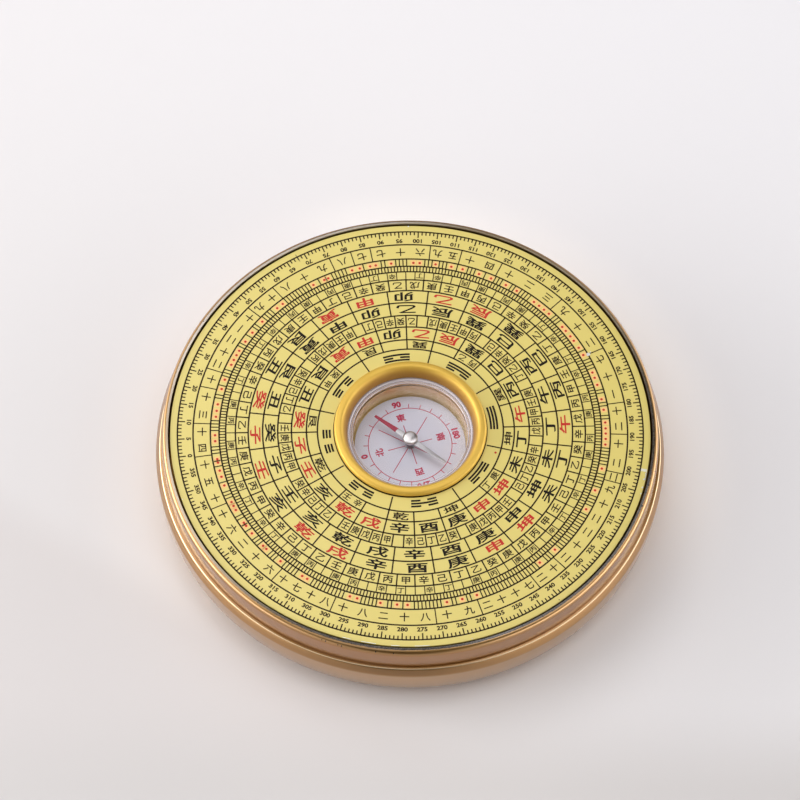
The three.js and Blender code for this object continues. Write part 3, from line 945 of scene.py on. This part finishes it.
def bezel():
    waist = (BEZEL_R, FACE + BEZEL_CURL_RISE)
    under = curve((BEZEL_R - BEZEL_CURL_IN, FACE), (BEZEL_R, FACE), waist, 8)
    outside = under + curve(waist, (BEZEL_R, BEZEL_TOP), (BEZEL_CREST_R, BEZEL_TOP), 20)[1:]
    inside = curve((BEZEL_CREST_R, BEZEL_TOP), (BEZEL_CREST_R - BEZEL_CREST_WIDTH, BEZEL_TOP),
                   (BEZEL_INNER_R, BEZEL_LIP_UNDER), 24)
    profile = [
        (BEZEL_NECK_BORE_R, BEZEL_NECK_END),
        (BEZEL_NECK_R, BEZEL_NECK_END),
        (BEZEL_NECK_R, FACE),
        *outside,
        *inside[1:],
        (BEZEL_NECK_BORE_R, BEZEL_LIP_UNDER),
    ]
    piece = lathe("gold_bezel", profile, BEZEL_SIDES)
    seat(piece, polished_gold(), "dial", "bezel_gold", "bezel_ring")


# Capsule

def capsule_cup():
    cup = lathe("clear_cup", rounded([
        (0, WELL_FLOOR),
        (CUP_R, WELL_FLOOR, 0.3),
        (CUP_R, CUP_TOP, 0.2),
        (CUP_WINDOW_R, CUP_TOP, 0.05),
        (CUP_WINDOW_R, LENS_UNDER),
        (CUP_INNER_R, LENS_UNDER, 0.05),
        (CUP_INNER_R, CARD_UNDER),
        (0, CARD_UNDER),
    ]), BEZEL_SIDES)
    seat(cup, cup_plastic(), "dial", "capsule_plastic", "capsule_cup")


def capsule_window():
    lens_r = CUP_WINDOW_R - FIT_GAP
    lens = lathe("clear_window", rounded([
        (0, LENS_UNDER),
        (lens_r, LENS_UNDER, 0.05),
        (lens_r, CUP_TOP + FIT_GAP),
        (CUP_R, CUP_TOP + FIT_GAP, 0.05),
        (CUP_R, WINDOW_RIM_TOP, 0.1),
        (WINDOW_STEP_R + WINDOW_STEP, WINDOW_RIM_TOP, 0.12),
        (WINDOW_STEP_R, CUP_TOP + WINDOW_LEDGE_RISE, 0.08),
        (WINDOW_CLEAR_R + WINDOW_EDGE, CUP_TOP + WINDOW_LEDGE_RISE, 0.08),
        (WINDOW_CLEAR_R, CUP_TOP, 0.05),
        (0, CUP_TOP),
    ]), BEZEL_SIDES)
    seat(lens, window_plastic(), "dial", "lens_clear", "capsule_lens")


def compass_card():
    card = lathe("white_card", rounded([
        (0, CARD_UNDER),
        (CARD_R, CARD_UNDER, 0.05),
        (CARD_R, CARD_TOP, 0.06),
        (0, CARD_TOP),
    ]), BEZEL_SIDES)
    seat(card, card_paper(), "dial", "card_white", "compass_card")


def pivot_pin(steel):
    pin = lathe("steel_pin", rounded([
        (0, CARD_TOP),
        (PIN_BASE_R, CARD_TOP),
        (PIN_BASE_R, CARD_TOP + PIN_BASE_THICKNESS, 0.1),
        (PIN_R, CARD_TOP + PIN_BASE_THICKNESS, 0.1),
        (PIN_R, PIN_TIP - PIN_TAPER, 0.1),
        (0, PIN_TIP),
    ]), SMALL_SIDES)
    seat(pin, steel, "dial", "screw_steel", "pivot_pin")


# Half of the lozenge round the hub's round middle, then the same turned by half a turn
def needle_blade():
    middle = NEEDLE_MID_WIDTH / 2
    tip = NEEDLE_TIP_WIDTH / 2
    hub_steps = 24
    join_angle = math.atan2(middle, NEEDLE_HUB_R)
    side = [(NEEDLE_HALF, -tip), (NEEDLE_HALF, tip)]
    for i in range(hub_steps + 1):
        angle = join_angle + (math.pi - 2 * join_angle) * i / hub_steps
        side.append((NEEDLE_HUB_R * math.cos(angle), NEEDLE_HUB_R * math.sin(angle)))
    outline = side + [(-x, -y) for x, y in side]
    blade = mesh_piece("lozenge_blade", *prism(outline, BLADE_UNDER, BLADE_TOP))
    blade.data.transform(Matrix.Rotation(math.radians(NEEDLE_HEADING), 4, "Z"))
    hole = rod("stem_hole", CAP_STEM_R + FIT_GAP, BLADE_UNDER - 1, BLADE_TOP + 1)
    combine(blade, [hole], "DIFFERENCE")
    modifier = blade.modifiers.new("bevel", "BEVEL")
    modifier.width = BLADE_BEVEL * MM
    modifier.segments = 2
    modifier.limit_method = "ANGLE"
    combine(blade, [], "UNION")
    seat(blade, needle_paint(), "needle", "needle_steel", "needle")


def needle_cap():
    dome = curve((CAP_R, BLADE_TOP + CAP_WALL), (CAP_R, CAP_TOP), (0, CAP_TOP), 20)
    cap = lathe("nickel_cap", [
        (0, JEWEL_TOP + FIT_GAP),
        (JEWEL_R + FIT_GAP, JEWEL_TOP + FIT_GAP),
        (JEWEL_R + FIT_GAP, CAP_STEM_END),
        (CAP_STEM_R, CAP_STEM_END),
        (CAP_STEM_R, BLADE_TOP),
        (CAP_R, BLADE_TOP),
        *dome,
    ], SMALL_SIDES)
    nickel = bare_metal("polished_nickel", "c9c3c4", "dcd7d7", 0.26, 0.34)
    seat(cap, nickel, "needle", "cap_nickel", "needle_cap")


def needle_jewel():
    jewel = lathe("bearing_jewel", [
        (0, CAP_STEM_END + JEWEL_RECESS),
        (JEWEL_RECESS_R, CAP_STEM_END),
        (JEWEL_R, CAP_STEM_END),
        (JEWEL_R, JEWEL_TOP),
        (0, JEWEL_TOP),
    ], SMALL_SIDES)
    seat(jewel, jewel_glass(), "needle", "jewel", "needle_jewel")


# Moves the upright walls of a flat shape outwards
def thicken(work, distance):
    work.normal_update()
    moves = []
    for vert in work.verts:
        walls = [f.normal for f in vert.link_faces if abs(f.normal.z) < 0.5]
        total = sum(walls, Vector()) * (2 / max(1, len(walls)))
        moves.append(total * distance / max(0.5, total.length_squared / 2))
    for vert, move in zip(work.verts, moves):
        vert.co += move


# Printing: closed shapes a little proud of the face, gathered by ink

class Print:
    glyphs = {}

    def __init__(self, name, face):
        self.name = name
        self.low = face - INK_SINK
        self.high = face + INK_RISE
        self.verts = []
        self.faces = []

    def add(self, verts, faces):
        start = len(self.verts)
        self.verts += verts
        self.faces += [tuple(start + i for i in face) for face in faces]

    # A band between two radii and two angles
    def sector(self, inner, outer, start, end, step=1.0):
        steps = max(1, math.ceil((end - start) / step))
        whole = end - start >= 360
        verts = []
        for i in range(steps + (0 if whole else 1)):
            angle = math.radians(start + (end - start) * i / steps)
            c, s = math.cos(angle), math.sin(angle)
            for r, z in ((inner, self.low), (outer, self.low), (outer, self.high), (inner, self.high)):
                verts.append((r * c, r * s, z))
        columns = len(verts) // 4
        faces = []
        for i in range(steps):
            a, b = 4 * i, 4 * ((i + 1) % columns)
            for k in range(4):
                n = (k + 1) % 4
                faces.append((a + k, b + k, b + n, a + n)[::-1])
        if not whole:
            last = 4 * (columns - 1)
            faces.append((0, 1, 2, 3))
            faces.append((last + 3, last + 2, last + 1, last))
        self.add(verts, faces)

    def circle(self, radius, width=CIRCLE_LINE):
        self.sector(radius - width / 2, radius + width / 2, 0, 360)

    # A straight radial line
    def spoke(self, inner, outer, angle, width=SPOKE_LINE):
        along = ray(angle)
        across = Vector((-along.y, along.x)) * width / 2
        corners = [along * inner - across, along * outer - across,
                   along * outer + across, along * inner + across]
        self.add(*prism(corners, self.low, self.high))

    def dot(self, radius, angle, size, sides=14, ragged=0.0):
        corners = []
        for i in range(sides):
            edge = size / 2 * (1 + rng.uniform(-ragged, ragged))
            corners.append(ray(angle) * radius + ray(360 * i / sides) * edge)
        self.add(*prism(corners, self.low, self.high))

    # A sign's outline as flat mesh data, one unit high where it fills its square
    @classmethod
    def glyph(cls, text, bold):
        key = (text, bold)
        if key not in cls.glyphs:
            data = bpy.data.curves.new("sign", "FONT")
            data.body = text
            data.align_x = "CENTER"
            data.resolution_u = 3
            data.extrude = 0.5
            holder = bpy.data.objects.new("sign", data)
            bpy.context.collection.objects.link(holder)
            evaluated = holder.evaluated_get(bpy.context.evaluated_depsgraph_get())
            mesh = bpy.data.meshes.new_from_object(evaluated)
            work = bmesh.new()
            work.from_mesh(mesh)
            bmesh.ops.remove_doubles(work, verts=work.verts, dist=1e-4)
            thicken(work, bold)
            work.to_mesh(mesh)
            work.free()
            verts = [tuple(v.co) for v in mesh.vertices]
            faces = [tuple(p.vertices) for p in mesh.polygons]
            bpy.data.meshes.remove(mesh)
            bpy.data.objects.remove(holder)
            bpy.data.curves.remove(data)
            cls.glyphs[key] = (verts, faces)
        return cls.glyphs[key]

    # Text at a place, its top towards the centre, or outwards if asked. It is sized as the model
    # sign would be to fill the width and height
    def sign(self, text, radius, angle, width, height, bold=0.0, model="国", outward=False):
        model_verts = self.glyph(model, bold)[0]
        xs = [v[0] for v in model_verts]
        ys = [v[1] for v in model_verts]
        middle_y = (min(ys) + max(ys)) / 2
        scale_x = width / (max(xs) - min(xs))
        scale_y = height / (max(ys) - min(ys))
        middle = ray(angle) * radius
        up = ray(angle) * (1 if outward else -1)
        right = Vector((up.y, -up.x))
        verts, faces = self.glyph(text, bold)
        placed = []
        for x, y, z in verts:
            flat = middle + right * x * scale_x + up * (y - middle_y) * scale_y
            placed.append((flat.x, flat.y, self.high if z > 0 else self.low))
        self.add(placed, faces)

    def finish(self, material, slot="dial_print"):
        seat(mesh_piece(self.name, self.verts, self.faces), material, "dial", slot)


def quarter_start(quarter):
    return DEGREE_ZERO - 90 * quarter


def ring_middle(inner, outer):
    return (CIRCLES[inner] + CIRCLES[outer]) / 2


def numeral(value):
    tens, ones = divmod(value, 10)
    text = ""
    if tens:
        text = (NUMERALS[tens] if tens > 1 else "") + "十"
    return text + (NUMERALS[ones] if ones else "")


def rings_and_scale(brown):
    lines = Print("printed_lines_and_bezel_shadow", FACE)
    for radius in CIRCLES:
        lines.circle(radius)
    # Painted shadow: a dark ring round the foot of the bezel, for the shade under its curled edge
    lines.circle(BEZEL_R - 0.05, BEZEL_SHADOW_WIDTH)
    for k in range(8):
        lines.spoke(TRIGRAM_SPOKE_R, CIRCLES[0], TRIGRAM_TURN + 22.5 + 45 * k)
    for inner, outer, count, first, width in SPOKE_RINGS:
        for k in range(count):
            lines.spoke(CIRCLES[inner], CIRCLES[outer], first + 360 / count * k, width)
    for k in range(360):
        length = LONG_TICK if k % 5 == 0 else SHORT_TICK
        lines.spoke(CIRCLES[11] - length, CIRCLES[11], DEGREE_ZERO - k, TICK_LINE)
    lines.finish(brown)
    numbers = Print("printed_degrees", FACE)
    for k in range(0, 360, 5):
        numbers.sign(str(k), DEGREE_SIGN_R, DEGREE_ZERO - k, *DEGREE_SIGN, 0.035, "0")
    numbers.finish(brown)


# The 24 directions in three rings, in black and red
def direction_rings(black, red):
    signs = {False: Print("printed_directions_black", FACE),
             True: Print("printed_directions_red", FACE)}
    for inner, outer, turn, width, height, red_signs in DIRECTION_RINGS:
        for k, sign in enumerate(DIRECTIONS):
            target = signs[sign in red_signs]
            target.sign(sign, ring_middle(inner, outer), turn - 15 * k, width, height, SIGN_BOLD)
    signs[False].finish(black)
    signs[True].finish(red)


# Stems counted back by twos in groups of five, small pairs of stems, and the signs of the inner ring
def stem_rings(brown):
    stems = Print("printed_stems", FACE)
    for inner, outer, turn, step, width, height in STEM_RINGS:
        for group in range(12):
            for i in range(5):
                stem = STEMS[(9 - group - 2 * i) % 10]
                angle = turn + 30 * group + step * i
                stems.sign(stem, ring_middle(inner, outer), angle, width, height, STEM_BOLD)
    for k in range(24):
        pair = "辛丁" if (k // 2) % 2 == 0 else "庚丙"
        for stem, turn in zip(pair, PAIR_TURN):
            stems.sign(stem, ring_middle(6, 7), turn + 15 * k, *PAIR_SIGN, STEM_BOLD)
    for quarter, (corner, first, second) in enumerate(CORNER_SIGNS):
        places = zip((corner, corner, first, second), CORNER_PLACES + MIDDLE_PLACES)
        for sign, (angle, width, height) in places:
            stems.sign(sign, ring_middle(0, 1), quarter_start(quarter) + angle, width, height, STEM_BOLD)
    stems.finish(brown)


def trigrams(black):
    bars = Print("printed_trigrams", FACE)
    for k, lines in enumerate(TRIGRAMS):
        middle = TRIGRAM_TURN + 45 * k
        start, end = middle - TRIGRAM_HALF, middle + TRIGRAM_HALF
        for line, radius in zip(lines, TRIGRAM_RADII):
            inner, outer = radius - TRIGRAM_BAR / 2, radius + TRIGRAM_BAR / 2
            if line == "1":
                bars.sector(inner, outer, start, end)
            else:
                bars.sector(inner, outer, start, middle - TRIGRAM_GAP)
                bars.sector(inner, outer, middle + TRIGRAM_GAP, end)
    bars.finish(black)


def outer_cells(brown, red, pale):
    signs = Print("printed_numbers", FACE)
    edges = sorted((quarter_start(q) + e) % 360 for q, row in enumerate(CELL_EDGES) for e in row)
    for i, start in enumerate(edges):
        end = edges[(i + 1) % len(edges)] + (360 if i + 1 == len(edges) else 0)
        signs.spoke(CIRCLES[9], CIRCLES[10], start, CELL_LINE)
        width = end - start
        text = (numeral(i + 1) + numeral(round(width)))[:max(1, int(width / CELL_SIGN_ROOM))]
        for k, sign in enumerate(text):
            place = start + width * (k + 0.5) / len(text)
            signs.sign(sign, ring_middle(9, 10), place, *CELL_SIGN, 0.015)
    dots = Print("printed_dots", FACE + 0.01)
    patches = Print("printed_patches", FACE - 0.01)
    places = sorted((quarter_start(q) + d) % 360 for q, row in enumerate(DOTS) for d in row)
    inner, outer = CIRCLES[8], CIRCLES[9]
    for place in places:
        dots.dot(DOT_R, place, DOT_SIZE)
        patches.sector(inner + PATCH_MARGIN, outer - PATCH_MARGIN, place - PATCH_HALF, place + PATCH_HALF)
    for k in range(FINE_CELLS):
        angle = 360 * k / FINE_CELLS
        nearest = min(abs((angle - p + 180) % 360 - 180) for p in places)
        if nearest > PATCH_HALF + PATCH_MARGIN:
            signs.spoke(inner, outer, angle, FINE_LINE)
    dots.dot(18.4, 343.5, 0.5)
    signs.finish(brown)
    dots.finish(red)
    patches.finish(pale)


# Card of the small compass
def card_print(crimson):
    card = Print("card_scale", CARD_TOP)
    card.circle(CARD_CIRCLE_R, CARD_LINE)
    for k in range(24):
        if k % 6:
            card.spoke(*CARD_TICK, CARD_NORTH - 15 * k, CARD_LINE)
    for k in range(8):
        card.spoke(CARD_SPOKE_START, CARD_SPOKE_ENDS[k % 2], CARD_NORTH - 45 * k, CARD_LINE)
    for k, sign in enumerate("北東南西"):
        angle = CARD_NORTH - 90 * k
        card.sign(sign, CARD_SIGN_R, angle, *CARD_SIGN, 0.03, outward=True)
        card.sign(str(90 * k), CARD_DEGREE_R, angle, *CARD_DEGREE, 0.05, "0", outward=True)
    card.finish(crimson, "card_white")


# Chips and rubbed places in the lacquer, and silver glints painted along the plate's near edge
def chips(silver, dark):
    bare = Print("lacquer_chips", FACE + 0.012)
    bare.dot(41.5, 26.4, 0.75, 11, 0.35)
    bare.dot(42.2, 26.9, 0.3, 9, 0.35)
    for angle, radius, size in EDGE_CHIPS:
        bare.dot(radius, angle, size, 9, 0.35)
    # Painted highlight: the near-side stretches are glints of light along the edge; the first is wear
    for start, end in EDGE_WEAR_AND_GLINTS:
        bare.sector(DIAL_R - 0.2, DIAL_R - 0.09, start, end)
    bare.finish(silver)
    wear_and_highlight = Print("rubbed_lacquer", FACE + 0.008)
    wear_and_highlight.sector(48.45, DIAL_R - 0.12, -10.85, -10.15)
    wear_and_highlight.finish(ink("rubbed_lacquer", "d9d4c4", 0.2))
    scratches = Print("lacquer_scratches", FACE + 0.012)
    scratches.spoke(47, 49, 120.5, 0.09)
    scratches.dot(41.5, 119.7, 0.22, 7, 0.3)
    scratches.dot(49.4, 308, 0.25, 7, 0.3)
    scratches.finish(dark)


# Stage, light and camera

def stage():
    half = FLOOR_HALF
    floor = mesh_piece("floor", [(-half, -half, 0), (half, -half, 0), (half, half, 0), (-half, half, 0)],
                       [(0, 1, 2, 3)])
    f = Finish("pale_table")
    x, y, _ = f.split(f.place)
    # Painted light: the floor is painted lighter towards the far side and the right, for the fall of the
    # light
    slope = f.weigh(y, 0.6, x, 0.5)
    colour = f.mix(f.fit(slope, -110, 110, smooth=False), "d9d4d3", "efecef")
    # Painted light: paler floor beside the case, for light thrown back from it
    side = f.math("ADD", f.fit(f.math("ADD", x, y), 20, 60), f.fit(x, -15, -45, 0, 0.35))
    bounce_glow = f.times(f.fit(f.polar(f.place)[0], 72, 56), side)
    colour = f.mix(bounce_glow, colour, "f8f3f2")
    # Painted shadow: darker towards the near left and darker still towards the front, where the case's
    # shadow falls
    near_left_shadow = f.fit(f.weigh(y, 1.0, x, 0.6), -54, -68, 0, 0.6)
    colour = f.mix(near_left_shadow, colour, "d6cfce")
    colour = f.mix(f.fit(y, -52, -76), colour, "d3cecd")
    f.set(Base_Color=colour, Roughness=f.fit(f.noise(f.place, 0.02), 0, 1, 0.5, 0.6))
    floor.data.materials.append(f.material)


# Dark studio with a bright low wall on its right and on its left
def world():
    room = bpy.data.worlds.new("studio")
    bpy.context.scene.world = room
    room.use_nodes = True
    f = Nodes(room.node_tree)
    x, _, z = f.split(f.node("ShaderNodeTexCoord").outputs["Generated"])
    walls = []
    for side, power in ((1.0, RIGHT_WALL), (-1.0, LEFT_WALL)):
        facing = f.math("MAXIMUM", f.times(x, side), 0.0)
        walls.append(f.times(f.math("POWER", facing, 2.0), power))
    low = f.math("SUBTRACT", 1.0, f.times(f.math("MAXIMUM", z, 0.0), 2.0), clamp=True)
    glow = f.times(f.math("ADD", *walls), low)
    f.put(room.node_tree.nodes["Background"].inputs["Color"], glow)


def camera():
    e = math.radians(VIEW_ELEVATION)
    forward = Vector((0, math.cos(e), -math.sin(e)))
    right = Vector((1, 0, 0))
    down = forward.cross(right)
    roll = math.radians(VIEW_ROLL)
    x_axis = math.cos(roll) * right - math.sin(roll) * down
    y_axis = math.sin(roll) * right + math.cos(roll) * down
    centre = FRAME_PIXELS / 2
    aim = Vector(((DIAL_CENTRE_PIXEL[0] - centre) / FOCAL_PIXELS,
                  (DIAL_CENTRE_PIXEL[1] - centre) / FOCAL_PIXELS, 1)).normalized() * VIEW_DISTANCE
    place = -(x_axis * aim.x + y_axis * aim.y + forward * aim.z) + Vector((0, 0, FACE))
    data = bpy.data.cameras.new("camera")
    data.sensor_width = SENSOR_WIDTH
    data.lens = FOCAL_PIXELS / FRAME_PIXELS * SENSOR_WIDTH
    data.clip_start = 0.01
    data.clip_end = 10
    eye = bpy.data.objects.new("camera", data)
    bpy.context.collection.objects.link(eye)
    turn = Matrix((x_axis, -y_axis, -forward)).transposed().to_4x4()
    eye.matrix_world = Matrix.Translation(place * MM) @ turn
    bpy.context.scene.camera = eye


def lights():
    for elevation, azimuth, width, height, power in LAMPS:
        e, a = math.radians(elevation), math.radians(azimuth)
        place = Vector((math.cos(e) * math.cos(a), math.cos(e) * math.sin(a), math.sin(e))) * LAMP_DISTANCE
        data = bpy.data.lights.new("softbox", "AREA")
        data.shape = "RECTANGLE"
        data.size, data.size_y = width, height
        data.energy = power
        lamp = bpy.data.objects.new("softbox", data)
        lamp.location = place
        lamp.rotation_euler = (-place).to_track_quat("-Z", "Y").to_euler()
        bpy.context.collection.objects.link(lamp)


steel = bare_metal("plain_steel", "9b9ca0", "b4b5b9", 0.25, 0.4)
brass = bare_metal("turned_brass", "b5893c", "c79d50", 0.22, 0.36)
brown_ink = ink("brown_ink", "2a1a02", 0.02)
black_ink = ink("black_ink", "190f02", 0.02)
red_ink = ink("red_ink", "c03026", 0.08)
pale_ink = ink("pale_red_ink", "efc07a")
crimson_ink = ink("crimson_ink", "c03e5c", 0.03)
silver_chip = bare_metal("bare_aluminium", "c9c9c9", "ececec", 0.3, 0.5)
dark_mark = ink("dark_mark", "2b2820")

camera()
case_base()
case_rim()
screws(steel)
bearing(brass, nylon())
turntable()
dial_plate()
bezel()
capsule_cup()
capsule_window()
compass_card()
pivot_pin(steel)
needle_blade()
needle_cap()
needle_jewel()
rings_and_scale(brown_ink)
direction_rings(black_ink, red_ink)
stem_rings(brown_ink)
trigrams(black_ink)
outer_cells(brown_ink, red_ink, pale_ink)
card_print(crimson_ink)
chips(silver_chip, dark_mark)
stage()
world()
lights()
bpy.context.scene.view_settings.view_transform = "Standard"
